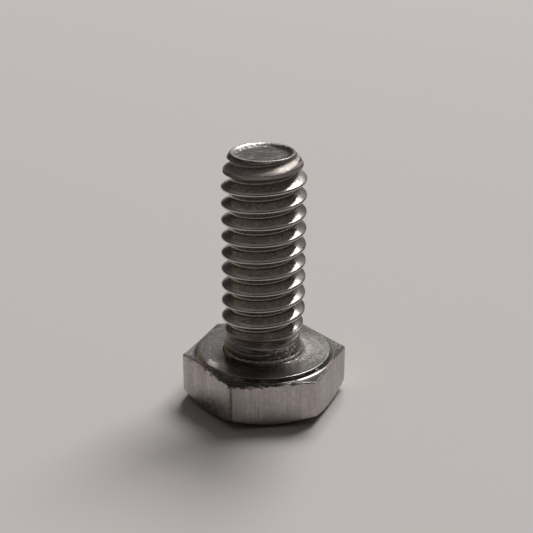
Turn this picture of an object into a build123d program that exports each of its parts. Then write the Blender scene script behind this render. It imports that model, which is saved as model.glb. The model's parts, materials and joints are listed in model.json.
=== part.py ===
from build123d import *

import os
from math import atan, ceil, cos, degrees, pi, radians, sin, tan

# Hex cap screw, 1/4-20 UNC by 5/8 inch, threaded over its whole length, in stainless steel.
# One solid, cold headed and thread rolled. Millimetres, +Z up.
# It stands on its head: the origin is the middle of the head's outer face, and +Z runs
# along the axis to the threaded point. Two corners of the hexagon lie on the X axis.

# ---- Head ----
across_flats = 10.87  # wrench size, 7/16 inch less the forging tolerance
head_height = 3.85  # outer face to bearing face, washer face included
corner_radius = 0.18  # on the six upright edges
crown_face_diameter = 9.80  # round flat that the chamfer leaves on the outer face
crown_chamfer_angle = 29.0  # degrees from the outer face
washer_face_height = 0.30  # raised round pad under the head
washer_face_diameter = 9.94  # at the bearing face
washer_side_spread = 0.23  # how far the pad's sloping side stands out at its foot

# ---- Shank ----
shank_length = 15.60  # bearing face to the end of the point
neck_fillet_radius = 0.45  # between the neck and the bearing face

# ---- Thread: single start, right hand, 60 degree form ----
major_diameter = 6.26
pitch = 1.27  # 20 threads to the inch
flank_angle = 30.0  # degrees from the plane square to the axis
crest_width = pitch / 8  # flat land at the major diameter
thread_depth = 0.60 * pitch  # crest to root
blank_depth = 0.30 * pitch  # crest to the blank that was rolled, which the neck still shows
thread_phase = 13.67  # height of one crest above the bearing face, on the +X side

# ---- Run-out of the thread towards the head, heights above the bearing face ----
bare_neck_height = 1.10  # nothing stands proud of the neck below this
full_crest_height = 2.75  # crests reach the major diameter from here up
full_root_height = 2.87  # the groove reaches its full depth from here up
runout_turns = 1.5  # turns over which the groove rises out of the neck
runout_clearance = 0.04  # how far the groove's root ends outside the neck

# ---- Point, heights below the end of the shank, depths inside the major radius ----
lead_height = 1.95  # the full diameter starts here
shoulder_height = 0.70  # where the steep chamfer meets the gentle lead
shoulder_depth = 0.30
point_depth = 0.68  # outer edge of the end face
rim_width = 0.10  # flat ring round the dished end
dish_depth = 0.22  # hollow left by rolling, which drives the skin past the core
dish_wall_width = 0.55  # sloping wall between the ring and the floor of the hollow

# ---- What follows from these ----
hexagon_height = head_height - washer_face_height
bearing_height = head_height
end_height = bearing_height + shank_length
crown_radius = crown_face_diameter / 2
washer_radius = washer_face_diameter / 2
washer_foot_radius = washer_radius + washer_side_spread
major_radius = major_diameter / 2
root_radius = major_radius - thread_depth
neck_radius = major_radius - blank_depth
shoulder_radius = major_radius - shoulder_depth
point_radius = major_radius - point_depth
dish_rim_radius = point_radius - rim_width
dish_floor_radius = dish_rim_radius - dish_wall_width
flank_slope = tan(radians(flank_angle))
runout_rise = neck_radius + runout_clearance - root_radius
cutter_margin = crest_width / 2  # how far the groove cutter stands outside the crests


def revolved(*outline):
    """Solid of revolution about Z from an outline in the XZ plane."""
    return revolve(make_face(outline), Axis.Z)


def on_profile(radius, height):
    """Point of an XZ outline."""
    return (radius, 0, height)


def hexagon():
    """Six-sided prism with worn upright edges and a cone-cut outer face."""
    plan = RegularPolygon(across_flats / 2, 6, major_radius=False)
    plan = fillet(plan.vertices(), corner_radius)
    prism = extrude(plan, hexagon_height)
    reach = across_flats
    cone_height = (reach - crown_radius) * tan(radians(crown_chamfer_angle))
    envelope = revolved(
        Polyline(
            on_profile(0, 0),
            on_profile(crown_radius, 0),
            on_profile(reach, cone_height),
            on_profile(reach, cone_height + head_height),
            on_profile(0, cone_height + head_height),
            close=True,
        )
    )
    return prism & envelope


def blank():
    """Washer face, neck, crest envelope, point and dished end, in one turned profile."""
    pad_base = hexagon_height / 2
    fillet_foot = on_profile(neck_radius + neck_fillet_radius, bearing_height)
    fillet_top = on_profile(neck_radius, bearing_height + neck_fillet_radius)
    fillet_bulge = neck_fillet_radius * (1 - sin(pi / 4))
    fillet_middle = on_profile(neck_radius + fillet_bulge, bearing_height + fillet_bulge)
    below = Polyline(
        fillet_foot,
        on_profile(washer_radius, bearing_height),
        on_profile(washer_foot_radius, hexagon_height),
        on_profile(washer_foot_radius, pad_base),
        on_profile(0, pad_base),
        on_profile(0, end_height - dish_depth),
        on_profile(dish_floor_radius, end_height - dish_depth),
        on_profile(dish_rim_radius, end_height),
        on_profile(point_radius, end_height),
        on_profile(shoulder_radius, end_height - shoulder_height),
        on_profile(major_radius, end_height - lead_height),
        on_profile(major_radius, bearing_height + full_crest_height),
        on_profile(neck_radius, bearing_height + bare_neck_height),
        fillet_top,
    )
    fillet_arc = ThreePointArc(fillet_top, fillet_middle, fillet_foot)
    return revolved(*below.edges(), fillet_arc)


def groove_section(rise):
    """Corners (radius, offset along Z) of the groove's trapezoid, moved out by rise."""
    root_half = (pitch - crest_width) / 2 - thread_depth * flank_slope
    mouth_half = root_half + (thread_depth + cutter_margin) * flank_slope
    inner = root_radius + rise
    outer = major_radius + cutter_margin + rise
    return [(inner, -root_half), (inner, root_half), (outer, mouth_half), (outer, -mouth_half)]


def helices(start_height, turns, start_rise, end_rise):
    """The four corners of the groove's section, each carried up a helix or conical helix."""
    climb = turns * pitch
    cone_angle = degrees(atan((end_rise - start_rise) / climb))
    turned = 360 * (start_height - (thread_phase - pitch / 2)) / pitch
    edges = []
    for radius, offset in groove_section(start_rise):
        centre = (0, 0, bearing_height + start_height + offset)
        helix = Edge.make_helix(
            pitch / cos(radians(cone_angle)), climb, radius, centre, angle=cone_angle
        )
        edges.append(helix.rotate(Axis.Z, turned))
    return edges


def single_turns(start_height, turns, start_rise, end_rise):
    """The same run of groove in equal lengths of a turn or less, so each face stays short."""
    count = ceil(turns)
    step = (end_rise - start_rise) / count
    return [
        helices(
            start_height + index * turns / count * pitch,
            turns / count,
            start_rise + index * step,
            start_rise + (index + 1) * step,
        )
        for index in range(count)
    ]


def ribbons(edges):
    """Ruled faces that join each helix to the next, all round the section."""
    return [
        Face.make_surface_from_curves(edge, edges[(index + 1) % len(edges)])
        for index, edge in enumerate(edges)
    ]


def end_cap(edges, end):
    """Flat face across the section at one end of its helices."""
    return Face(Wire.make_polygon([edge @ end for edge in edges], close=True))


def thread_groove():
    """Helical bar that the blank loses: a run-out that deepens, then the full groove."""
    runout_start = full_root_height - runout_turns * pitch
    full_turns = (shank_length - full_root_height) / pitch + 1
    lengths = [
        *single_turns(runout_start, runout_turns, runout_rise, 0),
        *single_turns(full_root_height, full_turns, 0, 0),
    ]
    sides = [face for edges in lengths for face in ribbons(edges)]
    return Solid(Shell([end_cap(lengths[0], 0), *sides, end_cap(lengths[-1], 1)]))


hex_cap_screw = hexagon() + blank() - thread_groove()

os.makedirs("parts", exist_ok=True)
export_step(hex_cap_screw, "parts/hex_cap_screw.step")
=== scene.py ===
"""Looks of the hex cap screw, standing on its head with the threaded point upwards.

The screw is one skin worked out with numpy. Its head is a profile carried round the
hexagon, and its shank is a profile carried up the thread's helix. Bare stainless steel is
painted on it in five finishes: crown, wrench flats, bearing side, rolled thread and point.
"""

import json

import bmesh
import bpy
import numpy as np
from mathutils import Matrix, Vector


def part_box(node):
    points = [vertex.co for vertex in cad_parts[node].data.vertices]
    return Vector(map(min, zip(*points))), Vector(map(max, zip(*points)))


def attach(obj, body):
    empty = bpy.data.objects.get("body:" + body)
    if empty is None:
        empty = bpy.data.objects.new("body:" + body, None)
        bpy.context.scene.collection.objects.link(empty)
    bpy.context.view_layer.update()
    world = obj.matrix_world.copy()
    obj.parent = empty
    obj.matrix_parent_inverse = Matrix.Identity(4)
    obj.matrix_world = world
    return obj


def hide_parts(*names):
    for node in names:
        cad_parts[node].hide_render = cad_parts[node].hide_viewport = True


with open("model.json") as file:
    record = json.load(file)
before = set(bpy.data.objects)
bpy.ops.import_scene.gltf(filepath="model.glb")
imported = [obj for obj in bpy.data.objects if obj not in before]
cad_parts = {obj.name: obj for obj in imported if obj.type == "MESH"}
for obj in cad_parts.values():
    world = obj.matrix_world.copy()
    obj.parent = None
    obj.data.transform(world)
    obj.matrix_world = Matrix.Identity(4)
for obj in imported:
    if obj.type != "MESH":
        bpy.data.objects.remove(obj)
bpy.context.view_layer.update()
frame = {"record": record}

MM = 0.001
TURN = 2 * np.pi
NODE = "hex_cap_screw"

# ---- Sizes that the frame gives ----
low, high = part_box(NODE)
mounts = {mount["name"]: mount for mount in frame["record"]["mounts"]}
APOTHEM = (high.y - low.y) / 2
TOP = high.z
BEARING_HEIGHT = mounts["bearing_face"]["pos_m"][2]
MAJOR_RADIUS = mounts["thread"]["dims"]["r_mm"] * MM
SHANK_LENGTH = TOP - BEARING_HEIGHT

# ---- Head ----
CORNER_RADIUS = 0.18 * MM  # upright edges of the hexagon
CROWN_RADIUS = 4.90 * MM  # round flat on the outer face
CROWN_CHAMFER = np.radians(29.0)
CROWN_EDGE = 0.25 * MM  # rounding where the flat turns into the chamfer
CHAMFER_EDGE = 0.06 * MM
WASHER_FACE_HEIGHT = 0.30 * MM
WASHER_RADIUS = 4.97 * MM
WASHER_FOOT_RADIUS = 5.20 * MM
WASHER_EDGE = 0.05 * MM
FOOT_ROLL = 2.6  # how much more the washer face's foot is rounded on one side
HEXAGON_HEIGHT = BEARING_HEIGHT - WASHER_FACE_HEIGHT
BURR_EDGE = 0.07 * MM
BURR_RISE = 0.30 * MM  # burr thrown up along two stretches of the hexagon's upper edge
SMALL_BURR = 0.5  # height of the second stretch as a share of the first
NOTCH_WIDTH = 0.05 * MM
NOTCH_DEPTH = 0.13 * MM
TORN_DEPTH = 0.40 * MM  # how far down the flats the torn edge reaches

# ---- Shank and thread, heights above the bearing face ----
PITCH = 1.27 * MM
FLANK_SLOPE = np.tan(np.radians(30.0))
CREST_HALF = PITCH / 16
THREAD_DEPTH = 0.60 * PITCH
ROOT_RADIUS = MAJOR_RADIUS - THREAD_DEPTH
NECK_RADIUS = MAJOR_RADIUS - 0.30 * PITCH
NECK_FILLET = 0.06 * MM
BEAD_RADIUS = 3.03 * MM  # ring of metal that the head's die left round the foot of the neck
BEAD_HEIGHT = 0.24 * MM
BEAD_TAPER = 0.03 * MM
BEAD_TOP = 0.07 * MM
COLLAR_RADIUS = 2.90 * MM  # drawn stock left under the head, below the run-out
COLLAR_HEIGHT = 0.82 * MM
COLLAR_LIP = 0.22 * MM  # the collar's upper edge stands proud by this on one side
COLLAR_CONE = 0.38 * MM
THREAD_PHASE = 13.67 * MM  # height of one crest, on the +X side
FULL_CREST_HEIGHT = 2.75 * MM
FULL_ROOT_HEIGHT = 2.65 * MM
RUNOUT_LENGTH = 0.95 * PITCH
RUNOUT_RISE = NECK_RADIUS + 0.04 * MM - ROOT_RADIUS
CREST_ROUNDING = 0.12 * MM
ROOT_ROUNDING = 0.22 * MM
LUMP_HEIGHT = 0.014 * MM  # half the height of the lumps on unrolled skin
STRIPE_SPACING = 0.36 * MM  # rust-brown lines round the neck

# ---- Point ----
LEAD_HEIGHT = 1.95 * MM
SHOULDER_HEIGHT = 0.70 * MM
SHOULDER_RADIUS = MAJOR_RADIUS - 0.30 * MM
SHOULDER_PROUD = 0.16 * MM  # the shoulder is less worn on one side
POINT_RADIUS = MAJOR_RADIUS - 0.74 * MM
RIM_WIDTH = 0.10 * MM
RIM_EDGE = 0.04 * MM
DISH_WALL = 0.55 * MM
DISH_DEPTH = 0.20 * MM

# ---- Sideways moves. The shank was forged a little off the head's axis, and leans back ----
FOOT_OFFSET = np.array([-0.11, 0.0]) * MM
TOP_OFFSET = np.array([-0.03, 0.0]) * MM
TIP_OFFSET = np.array([-0.09, 0.0]) * MM  # the sheared end is pushed aside

# ---- Sides of the screw: azimuth in degrees from -Y towards +X, and width of the bell ----
BURR_SIDE = (-72, 22)
SMALL_BURR_SIDE = (68, 14)
ROLLED_FOOT_SIDE = (34, 18)
NOTCHED_SIDE = (2, 24)
LIP_SIDE = (-58, 70)
SHOULDER_SIDE = (4.52, 50)
TORN_SIDE = (-9, 30)
TORN_CORNER = (31, 12)
# Sides where shade is painted: the gap by one corner's burr, the groove round the washer face's
# foot, the low part of a flat and the washer face by the neck's foot
PAINTED_SHADE_RIGHT_GAP = (31, 11)
PAINTED_SHADE_GROOVE_SIDE = (-90, 40)
PAINTED_SHADE_FLAT_SIDE = (-58, 20)
PAINTED_SHADE_FOOT_SIDE = (-66, 24)
STAINED_SIDE = (-72.48, 22)
# Painted shade down the front-left corner, standing for its reflection of the floor's shadow
PAINTED_SHADE_LEFT_CORNER = (-30.5, 1.1)
WORN_SIDE = (-63, 16)
# Lit side of the neck's foot where glints are painted, and side of the washer face with real
# scuffs and painted glints
NECK_GLINTS_SIDE = (31, 30)
SCUFFS_AND_GLINTS_FACE_SIDE = (90, 62)

# ---- Radii and heights between which a mark or a look comes in ----
ROOT_STAIN = (ROOT_RADIUS + 0.60 * MM, ROOT_RADIUS + 0.15 * MM)
TIP_STAIN = (SHANK_LENGTH - 2 * PITCH, SHANK_LENGTH - 4 * PITCH)
NECK_STAIN = (FULL_CREST_HEIGHT, FULL_CREST_HEIGHT - 1.0 * MM)
FOOT_STAIN = (WASHER_FOOT_RADIUS + 0.10 * MM, WASHER_FOOT_RADIUS)
FOOT_STAIN_DEPTH = 0.30 * MM
WASHER_FACE_FADE = (2.90 * MM, 3.20 * MM)
WORN_FADE = (3.60 * MM, 4.40 * MM)
# Where the painted shade comes in: darker towards the bottom of a flat, close to the neck's foot,
# and along the groove round the washer face's foot
PAINTED_SHADE_FLAT_FADE = (1.90 * MM, 0.90 * MM)
PAINTED_SHADE_FOOT_FADE = (4.10 * MM, 3.40 * MM)
PAINTED_SHADE_GROOVE_RADIUS = WASHER_FOOT_RADIUS + 0.12 * MM
PAINTED_SHADE_GROOVE_WIDTH = 0.12 * MM
# How high up the neck the painted glints go
NECK_GLINTS_HEIGHT = 1.15 * MM
RUBBED_FADE = (3.20 * MM, 4.60 * MM)
DENTED_FADE = (4.60 * MM, 3.60 * MM)
DARK_RINGS_FADE = (4.10 * MM, 4.80 * MM)
# Ring of the washer face near the neck where glints are painted
PAINTED_GLINTS_FADE = (3.72 * MM, 3.40 * MM)

# ---- Random lattices: numbers to a turn, height between them and seed ----
FINE_NOTCHES = (140, 1.0 * MM, 7)
COARSE_NOTCHES = (46, 1.0 * MM, 8)
FINE_LUMPS = (110, 0.09 * MM, 3)
COARSE_LUMPS = (24, 0.30 * MM, 4)

# ---- Camera and light ----
CAMERA_AZIMUTH = -7.48
CAMERA_ELEVATION = 22.55
CAMERA_DISTANCE = 87.10 * MM
CAMERA_TARGET = Vector((0.1444, -0.0190, 10.578)) * MM
LENS = 79.37
KEY_AZIMUTH = CAMERA_AZIMUTH + 153.0
KEY_ELEVATION = 53.0
KEY_WIDTH = 32
KEY_TALL = 22
KEY_DISTANCE = 3.0
KEY_POWER = 91
KEY_COLOUR = (1.0, 0.985, 0.97)

# ---- Room. Each part has (elevation, level) stops, the azimuth and elevation of its middle,
# and the cosines of the angles from there at which it starts and is full ----
STUDIO_TINT = np.array((1.0, 0.93, 0.91))
ROOM_LEVELS = ((0, 0.04), (25, 0.045), (40, 0.14), (60, 0.22), (80, 0.27), (90, 0.27))
BACKDROP_LEVELS = ((0, 0.36), (25, 0.40), (45, 0.28), (65, 0.24), (90, 0.27))
BACKDROP_MIDDLE = (CAMERA_AZIMUTH + 177.0, 20.0)
BACKDROP_REACH = (0.915, 0.975)
SIDE_LEVELS = ((0, 0.16), (12, 0.20), (25, 0.40), (38, 0.76), (50, 0.55), (70, 0.24))
SIDE_MIDDLE = (CAMERA_AZIMUTH + 147.0, 30.0)
SIDE_REACH = (0.88, 0.985)
FRONT_LEVELS = ((0, 0.05), (35, 0.03), (60, 0.05), (90, 0.20))
FRONT_MIDDLE = (CAMERA_AZIMUTH, 45.0)
FRONT_REACH = (0.70, 0.90)
HALO_LEVEL = 0.42  # glow of the room round the key light
HALO_REACH = (0.87, 0.975)
FLOOR_COLOUR = (0.535, 0.515, 0.505)
FLOOR_REACH = 6.0

# ---- Finishes, in the order of the piece's materials ----
CROWN, FLATS, BEARING_SIDE, THREAD, POINT = range(5)

# ---- Grid ----
STITCH_RADIUS = 3.45 * MM  # ring on the bearing face where the columns are halved
STITCH_GAP = 0.15 * MM
STITCH_ROWS = 3  # rows of the shank's grid that lie on the bearing face
SEAM = np.radians(90.0)  # the columns start at the middle of the flat that faces +Y
COLUMNS_BY_CORNER = (12, 24, 36, 36, 24, 12)  # columns on each side of a corner, going round
CROWDING = 1.6  # how strongly the columns crowd towards the corners
EDGE_ROWS = 5
RIM_ROWS = 3
DISH_ROWS = 12
LOWEST_TURN, HIGHEST_TURN = -14, 1


def smooth(s):
    """The cubic 3 s^2 - 2 s^3, which goes from 0 to 1 and starts and stops gently."""
    return s * s * (3 - 2 * s)


def rising(value, start, full):
    """0 at start and 1 at full, evenly between them, and held beyond them."""
    return np.clip((value - start) / (full - start), 0, 1)


def between(count):
    """Even shares between 0 and 1, without the ends, one to a row."""
    return np.linspace(0, 1, count + 2)[1:-1, None]


def soft_min(a, b, width):
    """The smaller of a and b, less a parabola where they lie within width of each other."""
    near = np.maximum(width - np.abs(a - b), 0)
    return np.minimum(a, b) - near**2 / (4 * width)


def soft_max(a, b, width):
    """The larger of a and b, rounded in the same way."""
    return -soft_min(-a, -b, width)


def facing(angle, azimuth, width):
    """1 towards an azimuth, in degrees from -Y, and falling off by a bell curve of a width."""
    away = (angle - np.radians(azimuth - 90) + np.pi) % TURN - np.pi
    return np.exp(-((away / np.radians(width)) ** 2))


def lumps(angle, height, around, tall, seed):
    """Smooth random field from -1 to 1: random numbers on a lattice, around of them to a turn
    and tall apart in height, joined by the cubic 3 s^2 - 2 s^3."""
    table = np.random.default_rng(seed).uniform(-1, 1, (around, 64))
    turned, climbed = angle / TURN * around, height / tall
    i, j = np.floor(turned).astype(int), np.floor(climbed).astype(int)
    s, t = smooth(turned - i), smooth(climbed - j)
    before = table[i % around, j % 64] * (1 - t) + table[i % around, (j + 1) % 64] * t
    i = i + 1
    after = table[i % around, j % 64] * (1 - t) + table[i % around, (j + 1) % 64] * t
    return before * (1 - s) + after * s


# ---- Rows of the head ----


def hexagon_columns():
    """Angles of the head's columns: corner +- 30 degrees times (k / n) to a power."""
    half = np.pi / 6
    angles = []
    for index, count in enumerate(COLUMNS_BY_CORNER):
        corner = SEAM + half + index * 2 * half
        share = (np.arange(count + 1) / count) ** CROWDING
        angles.append(corner - half * share[:0:-1])
        angles.append(corner + half * share[:-1])
    return np.concatenate(angles)


def hexagon_radius(angle):
    """Distance from the axis to a hexagon: apothem / cos(angle from the flat's middle),
    and near a corner the far crossing with the circle that rounds it."""
    off_corner = np.abs((angle + np.pi / 6) % (np.pi / 3) - np.pi / 6)
    flat = APOTHEM / np.cos(np.pi / 6 - off_corner)
    centre = (APOTHEM - CORNER_RADIUS) / np.cos(np.pi / 6)
    sideways = np.minimum(centre * np.sin(off_corner), CORNER_RADIUS)
    arc = centre * np.cos(off_corner) + np.sqrt(CORNER_RADIUS**2 - sideways**2)
    touch = np.arctan2(CORNER_RADIUS / 2, centre + CORNER_RADIUS * np.cos(np.pi / 6))
    return np.where(off_corner < touch, arc, flat)


def rounded_corner(radius, height, start, end, size, steps):
    """Rows of a corner at (radius, height): a quadratic curve from size before it, along the
    unit direction start, to size after it, along the unit direction end."""
    t = np.linspace(0, 1, steps)[:, None]
    before, after = (1 - t) ** 2, t**2
    radii = radius - before * size * start[0] + after * size * end[0]
    heights = height - before * size * start[1] + after * size * end[1]
    return radii, heights


def notches(angles):
    """0 to 1 depth of the notches torn in the hexagon's upper edge: the positive part of a
    fine and a coarse random field, by a bell curve round the axis, fading row by row."""
    level = 0 * angles
    field = lumps(angles, level, *FINE_NOTCHES) + 0.3 * lumps(angles, level, *COARSE_NOTCHES)
    fading = np.linspace(1, 0.3, EDGE_ROWS)[:, None]
    return np.clip(field, 0, 1) * facing(angles, *NOTCHED_SIDE) * fading


def head_rows(angles):
    """Radius and height of the head's rows, from the middle of the outer face to the
    bearing face: flat, chamfer cone, flats of the hexagon, its upper side, washer face."""
    outline = hexagon_radius(angles)[None, :]
    level = np.ones_like(outline)
    slope = np.tan(CROWN_CHAMFER)
    chamfer = (np.cos(CROWN_CHAMFER), np.sin(CROWN_CHAMFER))
    chamfer_top = (outline - CROWN_RADIUS) * slope
    side = np.array([WASHER_RADIUS - WASHER_FOOT_RADIUS, WASHER_FACE_HEIGHT])
    side = side / np.hypot(*side)
    foot_edge = WASHER_EDGE * (1 + FOOT_ROLL * facing(angles, *ROLLED_FOOT_SIDE))
    foot = WASHER_FOOT_RADIUS + foot_edge
    small_burr = SMALL_BURR * facing(angles, *SMALL_BURR_SIDE)
    burr_top = HEXAGON_HEIGHT + BURR_RISE * (facing(angles, *BURR_SIDE) + small_burr)

    flat = np.linspace(0, CROWN_RADIUS - CROWN_EDGE, 9)[:-1, None] * level
    crown_edge = rounded_corner(
        CROWN_RADIUS * level, 0 * level, (1, 0), chamfer, CROWN_EDGE, EDGE_ROWS
    )
    cone_start = CROWN_RADIUS + CROWN_EDGE * chamfer[0]
    cone = cone_start + between(7) * (outline - CHAMFER_EDGE * chamfer[0] - cone_start)
    chamfer_edge = rounded_corner(outline, chamfer_top, chamfer, (0, 1), CHAMFER_EDGE, 4)
    bottom = chamfer_top + CHAMFER_EDGE
    flats = bottom + between(12) * (burr_top - BURR_EDGE - bottom)
    burr = rounded_corner(outline, burr_top * level, (0, 1), (-1, 0), BURR_EDGE, EDGE_ROWS)
    inward = between(6)
    upper = outline - BURR_EDGE + inward * (foot - outline + BURR_EDGE)
    upper_heights = HEXAGON_HEIGHT + (burr_top - HEXAGON_HEIGHT) * (1 - inward) ** 2
    washer_foot = rounded_corner(
        WASHER_FOOT_RADIUS * level, HEXAGON_HEIGHT * level, (-1, 0), side, foot_edge, EDGE_ROWS
    )
    washer_edge = rounded_corner(
        WASHER_RADIUS * level, BEARING_HEIGHT * level, side, (-1, 0), WASHER_EDGE, EDGE_ROWS
    )

    radii = np.vstack([flat, crown_edge[0], cone, chamfer_edge[0], outline + 0 * flats,
                       burr[0] - NOTCH_WIDTH * notches(angles), upper, washer_foot[0],
                       washer_edge[0]])
    heights = np.vstack([0 * flat, crown_edge[1], (cone - CROWN_RADIUS) * slope,
                         chamfer_edge[1], flats, burr[1] - NOTCH_DEPTH * notches(angles),
                         upper_heights, washer_foot[1], washer_edge[1]])
    rows_to_chamfer = len(flat) + len(crown_edge[0]) + len(cone)
    rows_to_flats = rows_to_chamfer + len(chamfer_edge[0]) + len(flats) + 1
    return radii, heights, (rows_to_chamfer, rows_to_flats)


# ---- Rows of the shank ----


def crest_envelope(angle, height):
    """Radius that the crests may reach: the bead, the collar, a cone to full height, the full
    thread, a gentle lead and a steep chamfer at the point, less worn on one side."""
    bead_top = BEAD_HEIGHT + BEAD_TOP
    collar_top = COLLAR_HEIGHT + COLLAR_CONE
    heights = [BEAD_HEIGHT - 0.06 * MM, BEAD_HEIGHT, bead_top, collar_top, FULL_CREST_HEIGHT,
               SHANK_LENGTH - LEAD_HEIGHT, SHANK_LENGTH - SHOULDER_HEIGHT, SHANK_LENGTH]
    radii = [BEAD_RADIUS, BEAD_RADIUS - BEAD_TAPER, COLLAR_RADIUS, NECK_RADIUS, MAJOR_RADIUS,
             MAJOR_RADIUS, SHOULDER_RADIUS, POINT_RADIUS]
    lip = np.interp(height, [bead_top, COLLAR_HEIGHT - 0.06 * MM, COLLAR_HEIGHT, collar_top],
                    [0, COLLAR_LIP, COLLAR_LIP, 0])
    proud = np.interp(height, heights[-3:], [0, SHOULDER_PROUD, 0])
    radius = np.interp(height, heights, radii)
    return radius + lip * facing(angle, *LIP_SIDE) + proud * facing(angle, *SHOULDER_SIDE)


def groove_radius(angle, height):
    """Radius that the rolled groove leaves: a flat root with 60 degree flanks, measured from
    the groove's nearest turn, and rising in the run-out."""
    turns = (height - THREAD_PHASE) / PITCH - angle / TURN + 0.5
    off_groove = (turns - np.round(turns)) * PITCH
    groove_height = height - off_groove
    left = np.maximum(FULL_ROOT_HEIGHT - groove_height, 0) / RUNOUT_LENGTH
    root = ROOT_RADIUS + RUNOUT_RISE * left
    root_half = (PITCH - 2 * CREST_HALF) / 2 - THREAD_DEPTH * FLANK_SLOPE
    flank = root + (np.abs(off_groove) - root_half) / FLANK_SLOPE
    return soft_max(root, flank, ROOT_ROUNDING)


def unrolled(angle, height):
    """0 to 1 share of drawn skin that the rolling left as it was: where the groove lies
    outside the crest envelope and the envelope is below full height."""
    envelope = crest_envelope(angle, height)
    outside = rising(groove_radius(angle, height) - envelope, -0.05 * MM, 0.05 * MM)
    return outside * rising(envelope, MAJOR_RADIUS, MAJOR_RADIUS - 0.06 * MM)


def shank_radius(angle, height):
    """The smaller of the crest envelope and the groove, with small lumps where the skin was
    left as it was drawn."""
    radius = soft_min(crest_envelope(angle, height), groove_radius(angle, height), CREST_ROUNDING)
    bumps = lumps(angle, height, *FINE_LUMPS) + 0.5 * lumps(angle, height, *COARSE_LUMPS)
    return radius - LUMP_HEIGHT * (1.5 + bumps) * unrolled(angle, height)


def row_phases():
    """Places of one turn's rows as shares of the pitch, from a crest to the next: close on
    the rounded crest and root, wide on the flanks."""
    half = np.array([0, 0.02, 0.04, 0.058, 0.075, 0.095, 0.13, 0.18, 0.23, 0.28,
                     0.33, 0.365, 0.39, 0.415, 0.45])
    return np.concatenate([half, [0.5], 1 - half[:0:-1]])


def climbing_heights(angles):
    """Heights of the thread's rows at each column, above the bearing face. A row climbs by
    one pitch a turn, so its end meets the start of the row one turn higher. The rows of the
    first wedge fan out of a flat ring over one turn, and those of the last close into one."""
    phases = row_phases()
    per_turn = len(phases)
    turns = np.arange(LOWEST_TURN, HIGHEST_TURN + 1)[:, None]
    starts = (THREAD_PHASE + PITCH * (SEAM / TURN + turns + phases)).ravel()
    lowest = NECK_FILLET + 0.05 * MM
    highest = SHANK_LENGTH - PITCH - RIM_EDGE - 0.02 * MM
    starts = starts[(starts > lowest) & (starts < highest)]
    climb = ((angles - SEAM) / TURN)[None, :]
    first_wedge = starts[0] + (starts[:per_turn, None] - starts[0]) * climb
    band = starts[:, None] + PITCH * climb
    offsets = (starts[-per_turn:] - starts[-1 - per_turn])[:, None]
    last_wedge = starts[-1] + PITCH - (PITCH - offsets) * (1 - climb)
    return np.vstack([first_wedge, band, last_wedge]), per_turn


def shank_rows(angles):
    """Radius and height of the shank's rows, from the bearing face to the middle of the
    dished end: neck fillet as a quarter circle, thread, rim, dish wall as a smooth step."""
    level = np.ones((1, len(angles)))
    foot = BEAD_RADIUS + NECK_FILLET
    bearing = np.linspace(STITCH_RADIUS, foot, STITCH_ROWS + 1)[:-1, None] * level
    quarter = np.linspace(0, np.pi / 2, 9)[:, None] * level
    fillet = foot - NECK_FILLET * np.sin(quarter)
    fillet_heights = NECK_FILLET * (1 - np.cos(quarter))
    climbing, per_turn = climbing_heights(angles)
    thread = shank_radius(angles[None, :], climbing)

    last = climbing[-1:, :]
    up_to_rim = last + (SHANK_LENGTH - RIM_EDGE - last) / 2
    upper = shank_radius(angles[None, :], up_to_rim)
    end_outer = shank_radius(angles[None, :], SHANK_LENGTH * level)
    rim = rounded_corner(end_outer, SHANK_LENGTH * level, (0, 1), (-1, 0), RIM_EDGE, 4)
    dish_outer = POINT_RADIUS - RIM_WIDTH
    share = np.linspace(0, 1, DISH_ROWS + 1)[1:, None]
    wall = dish_outer - DISH_WALL * share * level
    floor_radii = np.linspace(dish_outer - DISH_WALL, 0, 10)[1:, None] * level

    radii = np.vstack([bearing, fillet, thread, upper, rim[0], dish_outer * level, wall,
                       floor_radii])
    heights = np.vstack([0 * bearing, fillet_heights, climbing, up_to_rim, rim[1],
                         SHANK_LENGTH * level, SHANK_LENGTH - DISH_DEPTH * smooth(share) * level,
                         SHANK_LENGTH - DISH_DEPTH + 0 * floor_radii])
    first = len(bearing) + len(fillet)
    return radii, heights + BEARING_HEIGHT, (first, len(climbing), per_turn)


def set_off(places):
    """Places of the shank moved sideways: by an offset that goes evenly from that of its foot
    to that of its top, and over the last turn by a smooth share of the sheared end's own."""
    height = places[..., 2:] - BEARING_HEIGHT
    up = rising(height, 0, SHANK_LENGTH)
    moved = places.copy()
    moved[..., :2] += FOOT_OFFSET * (1 - up) + TOP_OFFSET * up
    moved[..., :2] += smooth(rising(height, SHANK_LENGTH - PITCH, SHANK_LENGTH)) * TIP_OFFSET
    return moved


# ---- Skin ----


def points(radii, heights, angles):
    """Cylinder coordinates as rows of x, y, z."""
    radii, heights, angles = np.broadcast_arrays(radii, heights, angles)
    return np.stack([radii * np.cos(angles), radii * np.sin(angles), heights], axis=-1)


def quads(columns, rows, next_low, next_high):
    """Four-cornered faces between each row and the next. next_low and next_high give the
    rows at the first column that the last column joins."""
    column = np.arange(columns - 1)
    row = np.arange(rows - 1)[:, None]
    inner = np.stack([row * columns + column, row * columns + column + 1,
                      (row + 1) * columns + column + 1, (row + 1) * columns + column], axis=-1)
    row = row[:, 0]
    end = columns - 1
    seam = np.stack([row * columns + end, next_low * columns,
                     next_high * columns, (row + 1) * columns + end], axis=-1)
    return np.concatenate([inner, seam[:, None, :]], axis=1)


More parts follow.
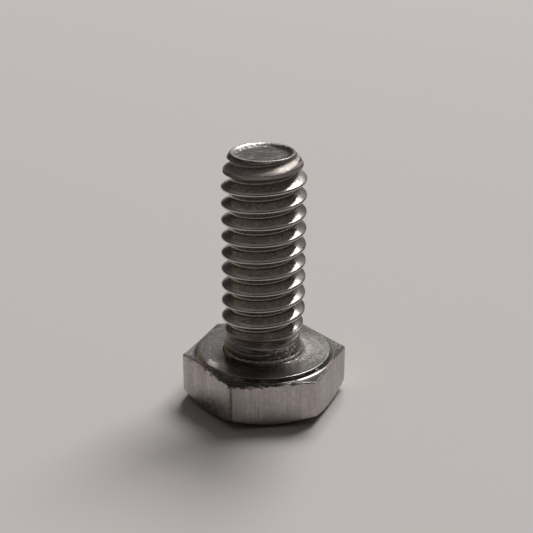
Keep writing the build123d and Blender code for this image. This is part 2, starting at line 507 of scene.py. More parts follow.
def screw_skin():
    """The whole skin as points, faces and the finish of each face. The head's columns turn
    into evenly spaced ones across the bearing face, and each pair of them meets one column
    of the shank."""
    head_angles = hexagon_columns()
    count = len(head_angles)
    even_angles = SEAM + TURN * np.arange(count) / count
    radii, heights, (chamfer_end, flats_end) = head_rows(head_angles)
    share = np.linspace(0, 1, 12)[1:, None]
    start, stop = WASHER_RADIUS - WASHER_EDGE, STITCH_RADIUS + STITCH_GAP
    bearing_radii = start * (1 - share) + stop * share
    bearing_angles = head_angles * (1 - share) + even_angles * share
    head = np.vstack([
        points(radii, heights, head_angles),
        points(bearing_radii, BEARING_HEIGHT, bearing_angles),
    ])
    rows = len(head)
    row = np.arange(rows - 1)
    head_faces = quads(count, rows, row, row + 1)
    head_finish = np.full(head_faces.shape[:2], BEARING_SIDE)
    head_finish[:chamfer_end] = CROWN
    head_finish[chamfer_end:flats_end] = FLATS

    shank_angles = even_angles[::2]
    half = count // 2
    radii, heights, (first, climbing, per_turn) = shank_rows(shank_angles)
    shank = set_off(points(radii, heights, shank_angles))
    rows = len(shank)
    row = np.arange(rows - 1)
    last = first + climbing - 1
    climbs = (row >= first) & (row < last)
    next_low = np.where(climbs, np.minimum(row + per_turn, last), row)
    next_high = np.where(climbs, np.minimum(row + 1 + per_turn, last), row + 1)
    shank_faces = quads(half, rows, next_low, next_high)
    shank_finish = np.full(shank_faces.shape[:2], THREAD)
    shank_finish[:STITCH_ROWS] = BEARING_SIDE
    shank_finish[last + RIM_ROWS:] = POINT

    base = len(head) * count
    outer = base - count + np.arange(count)
    inner = base + np.arange(half)
    after = np.roll(inner, -1)
    triangles = np.stack([outer[::2], outer[1::2], inner], axis=-1)
    joins = np.stack([outer[1::2], np.roll(outer, -2)[::2], after, inner], axis=-1)
    faces = head_faces.reshape(-1, 4).tolist() + (shank_faces.reshape(-1, 4) + base).tolist()
    faces += triangles.tolist() + joins.tolist()
    finish = np.concatenate([head_finish.ravel(), shank_finish.ravel(),
                             np.full(len(triangles) + len(joins), BEARING_SIDE)])
    return np.vstack([head.reshape(-1, 3), shank.reshape(-1, 3)]), faces, finish


def marks(places):
    """Shares from 0 to 1 that the finishes read at each point: products of bell curves round
    the axis and even ramps over radius and height. Torn: the side of the head whose
    upper edge is torn, and skin that was not rolled. Stain and shade: stains in the roots, the
    neck and the washer face's foot on one side, and painted shade down the flats' front-left
    corner. Scuffs and glints: real scuffs on the washer face, and where glints are painted
    near the neck on the washer face and on the lit side of the neck's foot. Worn: a patch of
    the washer face. Painted shade: in a gap at one corner, in a groove, low on a flat and
    by the neck's foot."""
    x, y, z = places.T
    angle, radius, height = np.arctan2(y, x), np.hypot(x, y), z - BEARING_HEIGHT
    on_shank = height > 0.02 * MM
    on_pad = height > -0.05 * MM
    past_foot = radius > WASHER_FOOT_RADIUS

    edge = 0.30 + 0.72 * facing(angle, *TORN_SIDE)
    edge = edge + 0.80 * facing(angle, *TORN_CORNER) * (radius < WASHER_FOOT_RADIUS)
    torn = np.where(on_shank, unrolled(angle, height), edge)

    # Painted shade: in the gap between the washer face's foot and the burr at one corner, in the
    # groove round that foot, on the low part of one flat, where it stands for a reflection of the
    # floor's shadow, and on the washer face by the neck's foot, where it stands for the neck's
    # shadow
    ledge = past_foot * (z > HEXAGON_HEIGHT - 0.05 * MM)
    wedge = facing(angle, *PAINTED_SHADE_RIGHT_GAP) * (radius > WASHER_FOOT_RADIUS + 0.22 * MM)
    wedge = wedge * (radius < hexagon_radius(angle) - 0.12 * MM)
    from_groove = (radius - PAINTED_SHADE_GROOVE_RADIUS) / PAINTED_SHADE_GROOVE_WIDTH
    groove = facing(angle, *PAINTED_SHADE_GROOVE_SIDE) * np.exp(-(from_groove**2))
    low_flat = facing(angle, *PAINTED_SHADE_FLAT_SIDE) * rising(z, *PAINTED_SHADE_FLAT_FADE)
    low_flat = low_flat * (radius > APOTHEM - 0.01 * MM)
    by_foot = facing(angle, *PAINTED_SHADE_FOOT_SIDE) * rising(radius, *PAINTED_SHADE_FOOT_FADE)
    sooted = (wedge + groove) * ledge + low_flat + 0.75 * by_foot * on_pad
    sooted = np.where(on_shank, 0, sooted)

    stained_side = facing(angle, *STAINED_SIDE)
    root = rising(radius, *ROOT_STAIN) * rising(height, *TIP_STAIN)
    neck = rising(height, *NECK_STAIN)
    foot = (radius > WASHER_RADIUS - 0.01 * MM) * rising(radius, *FOOT_STAIN)
    foot = foot * (z > HEXAGON_HEIGHT - FOOT_STAIN_DEPTH)
    # Painted shade: a thin dark line down the front-left corner of the flats, standing for its
    # reflection of the floor's shadow; the rest of this mark is real stain
    corner = facing(angle, *PAINTED_SHADE_LEFT_CORNER) * past_foot * (z < HEXAGON_HEIGHT)
    stained = np.where(on_shank, np.maximum(root, neck) * stained_side,
                       foot * stained_side + corner)

    washer = rising(radius, *WASHER_FACE_FADE) * (radius < WASHER_RADIUS)
    washer = washer * on_pad * (height < 0.02 * MM)
    worn = washer * facing(angle, *WORN_SIDE) * rising(radius, *WORN_FADE)
    # On the neck: the lit side, where glints are painted. On the washer face: real scuffs and
    # dents, with painted glints near the neck
    scuffed = np.where(on_shank, facing(angle, *NECK_GLINTS_SIDE) * (height < NECK_GLINTS_HEIGHT),
                       washer * facing(angle, *SCUFFS_AND_GLINTS_FACE_SIDE))
    return dict(torn=torn, stained=stained, scuffed=scuffed, worn=worn, sooted=sooted)


def linked(name, data):
    """An object for some data, in the scene."""
    thing = bpy.data.objects.new(name, data)
    bpy.context.scene.collection.objects.link(thing)
    return thing


def screw_piece(materials):
    """The skin as one object, with its doubled points at the poles and wedges welded."""
    places, faces, finish = screw_skin()
    mesh = bpy.data.meshes.new("screw")
    mesh.from_pydata(places, [], faces)
    for material in materials:
        mesh.materials.append(material)
    mesh.polygons.foreach_set("material_index", finish.astype(np.int32))
    for name, shares in marks(places).items():
        layer = mesh.attributes.new(name, "FLOAT", "POINT")
        layer.data.foreach_set("value", shares.astype(np.float32))
    work = bmesh.new()
    work.from_mesh(mesh)
    bmesh.ops.remove_doubles(work, verts=work.verts, dist=0.0001 * MM)
    work.to_mesh(mesh)
    work.free()
    mesh.shade_smooth()
    return linked("screw", mesh)


# ---- Nodes ----


def put(socket, value):
    """Joins a socket to another one, or sets its value."""
    if isinstance(value, bpy.types.NodeSocket):
        socket.id_data.links.new(value, socket)
    else:
        socket.default_value = value


def add(tree, kind, settings=None, **sockets):
    """A shader node with its settings, and named sockets joined to others or set to values."""
    node = tree.nodes.new("ShaderNode" + kind)
    for name, value in (settings or {}).items():
        setattr(node, name, value)
    for name, value in sockets.items():
        put(node.inputs[name], value)
    return node


def maths(tree, operation, first, second=0.0, clamp=False):
    """Result of a Math node."""
    node = add(tree, "Math", {"operation": operation, "use_clamp": clamp})
    put(node.inputs[0], first)
    put(node.inputs[1], second)
    return node.outputs[0]


def times(tree, first, second, clamp=False):
    """First times second."""
    return maths(tree, "MULTIPLY", first, second, clamp)


def plus(tree, first, second, clamp=False):
    """First plus second."""
    return maths(tree, "ADD", first, second, clamp)


def less(tree, first, second):
    """First less second."""
    return maths(tree, "SUBTRACT", first, second)


def ramped(tree, value, low, high, first=0.0, last=1.0, eased=True):
    """Value taken from first to last while it goes from low to high."""
    node = add(tree, "MapRange", {"interpolation_type": "SMOOTHSTEP" if eased else "LINEAR"},
               Value=value, **{"From Min": low, "From Max": high, "To Min": first, "To Max": last})
    return node.outputs["Result"]


def noise(tree, vector, scale, detail=2.0, roughness=0.5):
    """Fine random field, 0 to 1 about a half. Over a place its scale is in cells a metre."""
    node = add(tree, "TexNoise", Vector=vector, Scale=scale, Detail=detail, Roughness=roughness)
    return node.outputs["Fac"]


def vector_maths(tree, operation, first, second):
    """A Vector Math node of two vectors."""
    node = add(tree, "VectorMath", {"operation": operation})
    put(node.inputs[0], first)
    put(node.inputs[1], second)
    return node


def scaled(tree, vector, factors):
    """Vector times three factors."""
    return vector_maths(tree, "MULTIPLY", vector, factors).outputs["Vector"]


def upward(tree, place):
    """Height of a place above the outer face of the head."""
    return add(tree, "SeparateXYZ", Vector=place).outputs["Z"]


def blended(tree, factor, first, second):
    """Colour from first to second by factor; either may be a colour or a socket."""
    mix = add(tree, "Mix", {"data_type": "RGBA"}, Factor=factor)
    for name, value in (("A", first), ("B", second)):
        socket = [s for s in mix.inputs if s.name == name and s.type == "RGBA"][0]
        put(socket, value if isinstance(value, bpy.types.NodeSocket) else (*value, 1))
    return [s for s in mix.outputs if s.type == "RGBA"][0]


def coated(tree, colour, *coats):
    """Colour under coats, each of them a factor and the colour that it goes to."""
    for factor, coat in coats:
        colour = blended(tree, factor, colour, coat)
    return colour


def bumped(tree, *bumps):
    """Normal under bumps, each of them a height and how far a height of 1 stands proud."""
    under = {}
    for height, depth in bumps:
        node = add(tree, "Bump", Height=height, Distance=depth, Strength=1.0, **under)
        under = {"Normal": node.outputs["Normal"]}
    return under["Normal"]


def marked(tree, name):
    """One of the piece's own shares."""
    return add(tree, "Attribute", {"attribute_name": name}).outputs["Fac"]


def group(name, inputs, outputs, fill):
    """Shader node group. fill(tree, given) gets the inputs by name and returns the outputs."""
    tree = bpy.data.node_groups.new(name, "ShaderNodeTree")
    for way, sockets in (("INPUT", inputs), ("OUTPUT", outputs)):
        for label, kind in sockets.items():
            tree.interface.new_socket(name=label, in_out=way, socket_type=kind)
    start = tree.nodes.new("NodeGroupInput")
    end = tree.nodes.new("NodeGroupOutput")
    for label, socket in fill(tree, start.outputs).items():
        tree.links.new(socket, end.inputs[label])
    return tree


def placed(tree, shared, **sockets):
    """A node group placed in a material, with its own values."""
    return add(tree, "Group", {"node_tree": shared}, **sockets).outputs


# ---- Shared effects ----


def fill_turned(tree, given):
    """Direction from the axis, times Along, with radius times Across plus height times Up:
    a field over it runs in rings, and on a flank the rings follow the thread."""
    x, y, z = add(tree, "SeparateXYZ", Vector=given["Place"]).outputs
    square = plus(tree, times(tree, x, x), times(tree, y, y))
    radius = maths(tree, "MAXIMUM", maths(tree, "SQRT", square), 0.01 * MM)
    around = maths(tree, "DIVIDE", given["Along"], radius)
    across = times(tree, radius, given["Across"])
    rise = times(tree, z, given["Up"])
    out = add(tree, "CombineXYZ", X=times(tree, x, around), Y=times(tree, y, around),
              Z=plus(tree, across, rise))
    return {"Rings": out.outputs[0], "Radius": radius}


def fill_grain(tree, given):
    """Drawn or rolled lines: fine and coarse fields over a stretched place, as a height."""
    fine = noise(tree, given["Stretched"], 1.0, 3.0, 0.65)
    coarse = noise(tree, given["Stretched"], 0.27, 1.0)
    both = plus(tree, times(tree, fine, 0.6), times(tree, coarse, 0.4))
    return {"Height": both, "Lines": ramped(tree, both, 0.36, 0.64)}


def fill_pits(tree, given):
    """Small dents: round cells, of which the given share is kept."""
    cells = add(tree, "TexVoronoi", {"feature": "F1"}, Vector=given["Place"],
                Scale=given["Scale"], Randomness=1.0)
    inside = ramped(tree, cells.outputs["Distance"], 0.10, 0.24, 1.0, 0.0)
    pick = add(tree, "SeparateColor", Color=cells.outputs["Color"])
    chosen = maths(tree, "LESS_THAN", pick.outputs[0], given["Share"])
    return {"Pits": times(tree, inside, chosen)}


def fill_soil(tree, given):
    """Broad patches: a field taken from 0 to 1 while it goes between two levels."""
    broad = noise(tree, given["Place"], given["Scale"], 4.0, 0.6)
    return {"Patches": ramped(tree, broad, given["From"], given["To"])}


def fill_ragged(tree, given):
    """A share broken into ragged patches: it passes where the field is below it."""
    return {"Patches": ramped(tree, less(tree, given["Share"], given["Field"]), -0.06, 0.10)}


VECTOR, VALUE = "NodeSocketVector", "NodeSocketFloat"
TURNED = group("turned_place", {"Place": VECTOR, "Along": VALUE, "Across": VALUE, "Up": VALUE},
               {"Rings": VECTOR, "Radius": VALUE}, fill_turned)
GRAIN = group("grain", {"Stretched": VECTOR}, {"Height": VALUE, "Lines": VALUE}, fill_grain)
PITS = group("pits", {"Place": VECTOR, "Scale": VALUE, "Share": VALUE}, {"Pits": VALUE},
             fill_pits)
SOIL = group("soil", {"Place": VECTOR, "Scale": VALUE, "From": VALUE, "To": VALUE},
             {"Patches": VALUE}, fill_soil)
RAGGED = group("ragged", {"Share": VALUE, "Field": VALUE}, {"Patches": VALUE}, fill_ragged)


def ragged(tree, share, field):
    """The ragged group's patches."""
    return placed(tree, RAGGED, Share=share, Field=field)["Patches"]


# ---- Finishes. Colours are linear, and a pair are the ends of a field ----
CROWN_RINGS = ((0.27, 0.25, 0.24), (0.36, 0.335, 0.32))

FLAT_LINES = ((0.39, 0.352, 0.344), (0.54, 0.495, 0.48))
FLAT_MOTTLE = (0.29, 0.265, 0.255)
FLAT_PATCHES = (0.50, 0.475, 0.455)
FLAT_DENTS = (0.17, 0.15, 0.14)
# Painted shade down the front-left corner
FLAT_CORNER_SHADE = (0.15, 0.115, 0.105)
# Painted shade on the low part of one flat
FLAT_PAINTED_SHADE = (0.20, 0.165, 0.155)
FLAT_SOOT = ((0.03, 0.028, 0.026), (0.13, 0.12, 0.115))

BEARING_RINGS = ((0.215, 0.207, 0.195), (0.31, 0.30, 0.285))
BEARING_DARK_RINGS = (0.11, 0.105, 0.10)
BEARING_MOTTLE = (0.12, 0.115, 0.108)
BEARING_RUBBED = (0.43, 0.415, 0.39)
BEARING_WORN = (0.55, 0.53, 0.50)
# Painted glints near the neck
BEARING_PAINTED_GLINTS = (0.62, 0.60, 0.57)
WASHER_SIDE = (0.22, 0.213, 0.20)
LEDGE_SCALE = ((0.07, 0.068, 0.065), (0.20, 0.195, 0.185))
# Painted shade in the groove, the corner gap and by the neck's foot
LEDGE_PAINTED_SHADE = (0.03, 0.029, 0.027)
LEDGE_SOOT = ((0.06, 0.058, 0.055), (0.27, 0.255, 0.24))
LEDGE_RUST = ((0.20, 0.15, 0.11), (0.42, 0.34, 0.26))

THREAD_PATCHES = ((0.30, 0.27, 0.25), (0.40, 0.37, 0.342))
THREAD_LINES = (0.50, 0.47, 0.435)
THREAD_MOTTLE = (0.20, 0.178, 0.165)
# Painted shade towards the roots
THREAD_ROOT_SHADE = (0.16, 0.14, 0.125)
# Painted highlight on the crests
THREAD_CREST_HIGHLIGHT = (0.62, 0.57, 0.53)
THREAD_DENTS = (0.08, 0.07, 0.06)
NECK_SKIN = ((0.11, 0.097, 0.09), (0.39, 0.355, 0.337))
# Painted highlight along the bead, and painted shade under it
NECK_BEAD_HIGHLIGHT = (0.62, 0.56, 0.52)
NECK_PAINTED_SHADE = (0.05, 0.047, 0.045)
NECK_RUST = (0.60, 0.41, 0.21)
# Painted glints: flecks and specks on the lit side of the neck's foot
NECK_PAINTED_GLINTS = (0.80, 0.76, 0.72)
NECK_PAINTED_GLINT_SPECKS = (0.95, 0.92, 0.88)

POINT_PATCHES = ((0.088, 0.085, 0.081), (0.14, 0.136, 0.129))
POINT_MOTTLE = (0.055, 0.053, 0.05)
POINT_LINES = (0.07, 0.068, 0.064)
POINT_SCRATCHES = (0.34, 0.33, 0.31)
# Colour of the rim, also used as painted sheen on the dish wall
POINT_RIM_AND_WALL_SHEEN = (0.34, 0.33, 0.315)


def steel(name, fill):
    """Steel finish: fill(tree, place) gives its colour, roughness, normal and how metallic it
    is, from the place that its patterns are laid on."""
    material = bpy.data.materials.new(name)
    material.use_nodes = True
    tree = material.node_tree
    values = fill(tree, add(tree, "TexCoord").outputs["Object"])
    for socket, value in zip(("Base Color", "Roughness", "Normal", "Metallic"), values):
        put(tree.nodes["Principled BSDF"].inputs[socket], value)
    return material


def crown_steel(tree, place):
    """Outer face and chamfer: rings from the die, dulled by scuffs."""
    turned = placed(tree, TURNED, Place=place, Along=3.0, Across=6000, Up=0.0)
    rings = placed(tree, GRAIN, Stretched=turned["Rings"])
    scuffs = placed(tree, SOIL, Place=place, Scale=1500, From=0.45, To=0.62)["Patches"]
    colour = blended(tree, rings["Lines"], *CROWN_RINGS)
    rough = ramped(tree, scuffs, 0, 1, 0.28, 0.42)
    return colour, rough, bumped(tree, (rings["Height"], 0.004 * MM)), 1


def flat_steel(tree, place):
    """Wrench flats: fine upright lines from the die, faint mottling, a torn upper edge, and
    painted shade down the front-left corner and on the low part of one flat.
    """
    lines = placed(tree, GRAIN, Stretched=scaled(tree, place, (7000, 7000, 260)))
    mottle = noise(tree, place, 3000, 3.0, 0.6)
    broad = placed(tree, SOIL, Place=place, Scale=520, From=0.36, To=0.66)["Patches"]
    dents = placed(tree, PITS, Place=place, Scale=2300, Share=0.05)["Pits"]
    shreds = noise(tree, scaled(tree, place, (2400, 2400, 6500)), 1.0, 4.0, 0.65)
    near_edge = ramped(tree, upward(tree, place), HEXAGON_HEIGHT - TORN_DEPTH, HEXAGON_HEIGHT,
                       eased=False)
    torn = ragged(tree, times(tree, marked(tree, "torn"), near_edge),
                  ramped(tree, shreds, 0.35, 0.65, 0.25, 1.05))
    # seam is painted shade down the front-left corner: on the flats this mark holds nothing else
    seam = times(tree, marked(tree, "stained"), ramped(tree, mottle, 0.30, 0.60, 0.5, 1.0))
    # soil here is painted shade, on the flats mostly low on one of them, broken up by the mottle
    soil = times(tree, marked(tree, "sooted"), ramped(tree, mottle, 0.62, 0.38, 0.1, 0.9))
    soot = blended(tree, ramped(tree, mottle, 0.42, 0.60), *FLAT_SOOT)

    colour = coated(
        tree, blended(tree, lines["Lines"], *FLAT_LINES),
        (ramped(tree, mottle, 0.35, 0.65, 0.45, 0.0), FLAT_MOTTLE),
        (times(tree, broad, 0.3), FLAT_PATCHES),
        (times(tree, dents, 0.6), FLAT_DENTS),
        (seam, FLAT_CORNER_SHADE),
        (soil, FLAT_PAINTED_SHADE),
        (torn, soot),
    )
    rough = plus(tree, ramped(tree, lines["Lines"], 0, 1, 0.34, 0.27), times(tree, torn, 0.25))
    height = plus(tree, lines["Height"], times(tree, mottle, 0.8))
    normal = bumped(tree, (height, 0.006 * MM), (torn, -0.02 * MM))
    return colour, rough, normal, 1


def bearing_steel(tree, place):
    """Washer face with rings, scuffs, small dents and painted glints near the neck, rust at its
    foot on one side, and the dull scaly upper side of the hexagon with a torn edge. Shade is
    painted in the groove round the foot, in the gap at one corner and by the neck's foot."""
    turned = placed(tree, TURNED, Place=place, Along=2.5, Across=5200, Up=0.0)
    rings = placed(tree, GRAIN, Stretched=turned["Rings"])
    radius = turned["Radius"]
    mottle = noise(tree, place, 5600, 4.0, 0.65)
    grains = noise(tree, place, 5200, 3.0, 0.6)
    scratches = noise(tree, scaled(tree, turned["Rings"], (6.0, 6.0, 1.2)), 1.0, 4.0, 0.7)
    shreds = noise(tree, scaled(tree, turned["Rings"], (2.6, 2.6, 0.8)), 1.0, 4.0, 0.65)
    smear = noise(tree, scaled(tree, turned["Rings"], (3.0, 3.0, 3.0)), 1.0, 3.0, 0.6)
    scuffed = marked(tree, "scuffed")
    outside = ramped(tree, radius, WASHER_RADIUS, WASHER_RADIUS + 0.05 * MM)
    far_out = ramped(tree, radius, WASHER_FOOT_RADIUS + 0.10 * MM,
                     WASHER_FOOT_RADIUS + 0.25 * MM)

    worn = ramped(tree, less(tree, times(tree, marked(tree, "worn"), 0.62), mottle), -0.05, 0.09)
    near_neck = ramped(tree, radius, *RUBBED_FADE, 0.76, 0.62)
    rubbed = ramped(tree, less(tree, times(tree, scuffed, near_neck), scratches), -0.20, 0.28)
    dents = placed(tree, PITS, Place=place, Scale=4800, Share=0.30)["Pits"]
    dents = times(tree, dents, times(tree, scuffed, ramped(tree, radius, *DENTED_FADE)))
    dark_rings = times(tree, ramped(tree, radius, *DARK_RINGS_FADE),
                       ramped(tree, rings["Height"], 0.52, 0.44, 0.0, 0.5))
    # Painted glints: bright flecks on the washer face near the neck, on the lit side
    painted_glints = times(tree, ramped(tree, radius, *PAINTED_GLINTS_FADE, 0.0, 0.8), scuffed)
    painted_glints = times(tree, painted_glints, ramped(tree, grains, 0.46, 0.60))
    scale = blended(tree, ramped(tree, grains, 0.40, 0.60), *LEDGE_SCALE)
    # soil here is painted shade in the groove, the corner gap and by the neck's foot, broken up by
    # the grains
    soil = times(tree, marked(tree, "sooted"), ramped(tree, grains, 0.36, 0.52, 0.6, 1.0))
    torn = ragged(tree, times(tree, marked(tree, "torn"), outside), plus(tree, shreds, 0.10))
    soot = blended(tree, ramped(tree, smear, 0.46, 0.64), *LEDGE_SOOT)
    stain = ragged(tree, marked(tree, "stained"), times(tree, grains, 0.9))
    rust = blended(tree, ramped(tree, grains, 0.40, 0.60), *LEDGE_RUST)

    colour = coated(
        tree, blended(tree, rings["Lines"], *BEARING_RINGS),
        (times(tree, rubbed, 0.72), BEARING_RUBBED),
        (ramped(tree, mottle, 0.60, 0.42, 0.0, 0.6), BEARING_MOTTLE),
        (times(tree, worn, 0.9), BEARING_WORN),
        (dark_rings, BEARING_DARK_RINGS),
        (painted_glints, BEARING_PAINTED_GLINTS),
        (outside, WASHER_SIDE),
        (far_out, scale),
        (soil, LEDGE_PAINTED_SHADE),
        (torn, soot),
        (stain, rust),
    )
    rough = plus(tree, ramped(tree, rubbed, 0, 1, 0.24, 0.30), times(tree, worn, 0.14))
    rough = plus(tree, rough, times(tree, far_out, 0.08))
    height = plus(tree, times(tree, rings["Height"], 0.6),
                  times(tree, grains, plus(tree, scuffed, far_out)))
    height = plus(tree, height, times(tree, mottle, 0.7))
    normal = bumped(tree, (height, 0.012 * MM), (dents, 0.012 * MM), (torn, -0.03 * MM))
    return colour, rough, normal, less(tree, 0.85, times(tree, stain, 0.75))


def thread_steel(tree, place):
    """Rolled thread: bright flanks with faint lines along the helix, painted shade towards the
    roots, a painted highlight on the crests, brown deposits in the roots, a few pits, dull ringed
    skin where the rolling did not reach, rust-brown lines on one side of the neck, and a bead
    round its foot, with a painted highlight along it, painted shade under it and painted glints
    on the neck's lit side."""
    turned = placed(tree, TURNED, Place=place, Along=4.0, Across=9000, Up=900)
    lines = placed(tree, GRAIN, Stretched=turned["Rings"])
    level = placed(tree, TURNED, Place=place, Along=1.7, Across=1500, Up=10500)
    rings = placed(tree, GRAIN, Stretched=level["Rings"])
    broad = placed(tree, SOIL, Place=place, Scale=620, From=0.35, To=0.68)["Patches"]
    dents = placed(tree, PITS, Place=place, Scale=2200, Share=0.05)["Pits"]
    grains = noise(tree, place, 4600, 4.0, 0.65)
    torn = marked(tree, "torn")
    scuffed = marked(tree, "scuffed")
    above = upward(tree, place)
    scale = ramped(tree, rings["Height"], 0.43, 0.57)

    stripes = plus(tree, times(tree, above, TURN / STRIPE_SPACING), times(tree, grains, 3.0))
    stripes = ramped(tree, maths(tree, "SINE", stripes), -0.1, 0.5, 0.15, 1.3)
    in_roots = ramped(tree, scale, 0, 1, 0.25, 0.9, eased=False)
    lined = ramped(tree, above, BEARING_HEIGHT + FULL_CREST_HEIGHT,
                   BEARING_HEIGHT + COLLAR_HEIGHT, in_roots, stripes)
    stain = ragged(tree, times(tree, marked(tree, "stained"), 0.62), rings["Height"])
    stain = times(tree, stain, lined, clamp=True)
    # Painted shade: the flanks darkened towards the root
    painted_root_shade = ramped(tree, turned["Radius"], ROOT_RADIUS, ROOT_RADIUS + 0.40 * MM, 0.40, 0.0)
    # Painted highlight: the crests lightened to stand in for their bright reflection lines
    on_crest = ramped(tree, turned["Radius"], MAJOR_RADIUS - 0.24 * MM,
                      MAJOR_RADIUS - 0.06 * MM, 0.0, 0.7)
    skin = blended(tree, scale, *NECK_SKIN)

    # Painted highlight along the bead's top, broken into bits except on the lit side, and painted
    # shade under the bead, less on the lit side
    bead_level = BEARING_HEIGHT + BEAD_HEIGHT
    on_bead = ramped(tree, above, bead_level + 0.11 * MM, bead_level + 0.05 * MM)
    painted_shade_under_bead = ramped(tree, above, bead_level - 0.06 * MM, bead_level - 0.12 * MM)
    painted_shade_under_bead = times(tree, painted_shade_under_bead, less(tree, 0.9, scuffed), clamp=True)
    broken = plus(tree, ramped(tree, grains, 0.42, 0.58, 0.15, 0.8), scuffed, clamp=True)
    bead = times(tree, on_bead, broken)
    # Painted glints: bright flecks on the lit side of the neck, and brighter specks on the bead
    # there
    painted_glints = times(tree, scuffed, ramped(tree, grains, 0.52, 0.62))
    painted_glint_specks = times(tree, times(tree, on_bead, scuffed), ramped(tree, grains, 0.50, 0.58))

    colour = coated(
        tree, blended(tree, broad, *THREAD_PATCHES),
        (times(tree, lines["Lines"], 0.6), THREAD_LINES),
        (ramped(tree, grains, 0.60, 0.40, 0.0, 0.6), THREAD_MOTTLE),
        (painted_root_shade, THREAD_ROOT_SHADE),
        (on_crest, THREAD_CREST_HIGHLIGHT),
        (torn, skin),
        (dents, THREAD_DENTS),
        (bead, NECK_BEAD_HIGHLIGHT),
        (painted_shade_under_bead, NECK_PAINTED_SHADE),
        (times(tree, stain, 0.9), NECK_RUST),
        (painted_glints, NECK_PAINTED_GLINTS),
        (painted_glint_specks, NECK_PAINTED_GLINT_SPECKS),
    )
    near_tip = ramped(tree, above, TOP - 1.75 * PITCH, TOP - PITCH)
    rough = less(tree, ramped(tree, broad, 0, 1, 0.18, 0.28), times(tree, bead, 0.10))
    rough = plus(tree, rough, times(tree, near_tip, 0.26))
    rough = plus(tree, rough, times(tree, torn, 0.18))
    drawn = times(tree, plus(tree, rings["Height"], times(tree, grains, 0.7)), torn)
    height = plus(tree, times(tree, lines["Height"], 0.6), times(tree, grains, 0.45))
    normal = bumped(tree, (height, 0.007 * MM), (drawn, 0.034 * MM), (dents, -0.02 * MM))
    # Less metallic where there is rust and where glint specks are painted, so that the specks take
    # the key light
    scaly = maths(tree, "MAXIMUM", times(tree, stain, 0.6), times(tree, painted_glint_specks, 0.7))
    return colour, rough, normal, less(tree, 1.0, scaly)


def point_steel(tree, place):
    """Rim and dished end: mottled skin that was never in a die, with dents and scratches, and
    painted sheen on the dish wall.
    """
    turned = placed(tree, TURNED, Place=place, Along=2.0, Across=5000, Up=0.0)
    rings = placed(tree, GRAIN, Stretched=turned["Rings"])
    broad = placed(tree, SOIL, Place=place, Scale=900, From=0.40, To=0.65)["Patches"]
    dents = placed(tree, PITS, Place=place, Scale=2400, Share=0.12)["Pits"]
    mottle = noise(tree, place, 3000, 4.0, 0.6)
    scratches = noise(tree, scaled(tree, place, (1500, 9000, 9000)), 1.0, 3.0, 0.6)
    scratches = ramped(tree, scratches, 0.62, 0.72)
    rim = ramped(tree, turned["Radius"], POINT_RADIUS - 0.35 * MM, POINT_RADIUS - 0.15 * MM)
    on_wall = ramped(tree, turned["Radius"], POINT_RADIUS - RIM_WIDTH - DISH_WALL,
                     POINT_RADIUS - 0.3 * MM)
    lines = times(tree, on_wall, ramped(tree, rings["Height"], 0.55, 0.42))
    # Painted sheen: the dish wall lightened in mottled patches, standing for its reflection
    bright = times(tree, on_wall, ramped(tree, mottle, 0.50, 0.62, 0.0, 0.7))

    colour = coated(
        tree, blended(tree, broad, *POINT_PATCHES),
        (ramped(tree, mottle, 0.60, 0.42), POINT_MOTTLE),
        (times(tree, scratches, 0.5), POINT_SCRATCHES),
        (times(tree, lines, 0.6), POINT_LINES),
        (bright, POINT_RIM_AND_WALL_SHEEN),
        (rim, POINT_RIM_AND_WALL_SHEEN),
    )
    rough = plus(tree, ramped(tree, broad, 0, 1, 0.34, 0.44), times(tree, on_wall, 0.10))
    rough = less(tree, rough, times(tree, rim, 0.14))
    height = plus(tree, mottle, times(tree, rings["Height"], 0.3))
    normal = bumped(tree, (height, 0.034 * MM), (dents, -0.015 * MM))
    return colour, rough, normal, 1


# ---- Stage ----


def direction(azimuth, elevation):
    """Unit vector towards a place in the sky: azimuth 0 is -Y and grows towards +X."""
    a, e = np.radians(azimuth), np.radians(elevation)
    return Vector((np.sin(a) * np.cos(e), -np.cos(a) * np.cos(e), np.sin(e)))


def camera():
    """Camera on a sphere round its target, at the angles and the distance given above."""
    data = bpy.data.cameras.new("camera")
    data.sensor_width = 36
    data.lens = LENS
    data.clip_start = 0.001
    data.clip_end = 20
    away = direction(CAMERA_AZIMUTH, CAMERA_ELEVATION)
    cam = linked("camera", data)
    cam.location = CAMERA_TARGET + CAMERA_DISTANCE * away
    cam.rotation_euler = away.to_track_quat("Z", "Y").to_euler()
    bpy.context.scene.camera = cam


def key_light():
    """Wide soft box behind the screw on the right."""
    data = bpy.data.lights.new("key", "AREA")
    data.shape = "RECTANGLE"
    data.size = 2 * KEY_DISTANCE * np.tan(np.radians(KEY_WIDTH / 2))
    data.size_y = 2 * KEY_DISTANCE * np.tan(np.radians(KEY_TALL / 2))
    data.energy = KEY_POWER
    data.color = KEY_COLOUR
    towards = direction(KEY_AZIMUTH, KEY_ELEVATION)
    light = linked("key", data)
    light.location = KEY_DISTANCE * towards
    light.rotation_euler = towards.to_track_quat("Z", "Y").to_euler()


def level_ramp(tree, height, stops):
    """Colour ramp of the studio's brightness over height, from (elevation, level) stops."""
    ramp = add(tree, "ValToRGB", Fac=height)
    elements = ramp.color_ramp.elements
    while len(elements) < len(stops):
        elements.new(0.5)
    for element, (elevation, level) in zip(elements, stops):
        element.position = np.sin(np.radians(elevation))
        element.color = (*(level * STUDIO_TINT), 1)
    return ramp.outputs["Color"]


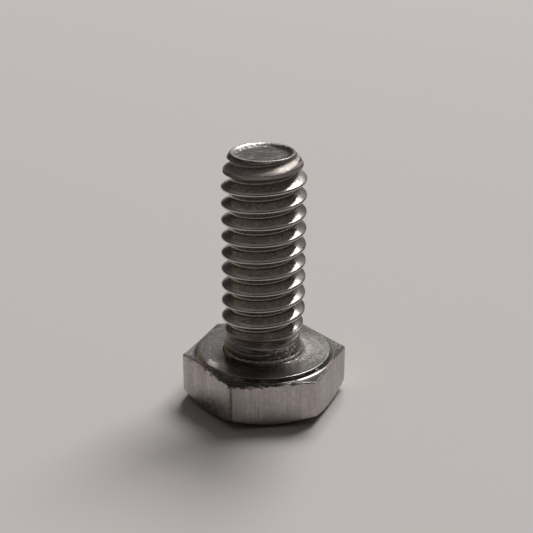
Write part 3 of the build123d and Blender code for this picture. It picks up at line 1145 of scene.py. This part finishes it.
def towards_share(tree, place, middle, reach):
    """0 to 1 share of the sky round a middle: smooth step of the cosine of the angle to it."""
    cosine = vector_maths(tree, "DOT_PRODUCT", place, direction(*middle)).outputs["Value"]
    return ramped(tree, cosine, *reach)


def studio():
    """World as a dark room whose far side, behind the screw, is as bright as the floor."""
    world = bpy.data.worlds.new("studio")
    bpy.context.scene.world = world
    world.use_nodes = True
    tree = world.node_tree
    tree.nodes.clear()
    place = add(tree, "TexCoord").outputs["Generated"]
    height = upward(tree, place)
    colour = level_ramp(tree, height, ROOM_LEVELS)
    for levels, middle, reach in ((BACKDROP_LEVELS, BACKDROP_MIDDLE, BACKDROP_REACH),
                                  (SIDE_LEVELS, SIDE_MIDDLE, SIDE_REACH),
                                  (FRONT_LEVELS, FRONT_MIDDLE, FRONT_REACH)):
        share = towards_share(tree, place, middle, reach)
        colour = blended(tree, share, colour, level_ramp(tree, height, levels))
    glow = towards_share(tree, place, (KEY_AZIMUTH, KEY_ELEVATION), HALO_REACH)
    colour = blended(tree, glow, colour, HALO_LEVEL * STUDIO_TINT)
    shade = add(tree, "Background", Color=colour)
    add(tree, "OutputWorld", Surface=shade.outputs[0])


def floor():
    """Pale matt ground, wide enough to reach past the picture."""
    mesh = bpy.data.meshes.new("floor")
    corners = FLOOR_REACH * np.array([(-1, -1, 0), (1, -1, 0), (1, 1, 0), (-1, 1, 0)])
    mesh.from_pydata(corners, [], [(0, 1, 2, 3)])
    material = bpy.data.materials.new("floor")
    material.use_nodes = True
    shader = material.node_tree.nodes["Principled BSDF"]
    shader.inputs["Base Color"].default_value = (*FLOOR_COLOUR, 1)
    shader.inputs["Roughness"].default_value = 0.9
    shader.inputs["Specular IOR Level"].default_value = 0.2
    mesh.materials.append(material)
    return linked("floor", mesh)


finishes = {"crown_steel": crown_steel, "flat_steel": flat_steel, "bearing_steel": bearing_steel,
            "thread_steel": thread_steel, "point_steel": point_steel}
screw = screw_piece([steel(name, fill) for name, fill in finishes.items()])
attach(screw, "root")
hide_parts(NODE)
floor()
key_light()
studio()
camera()
bpy.context.scene.view_settings.view_transform = "Standard"
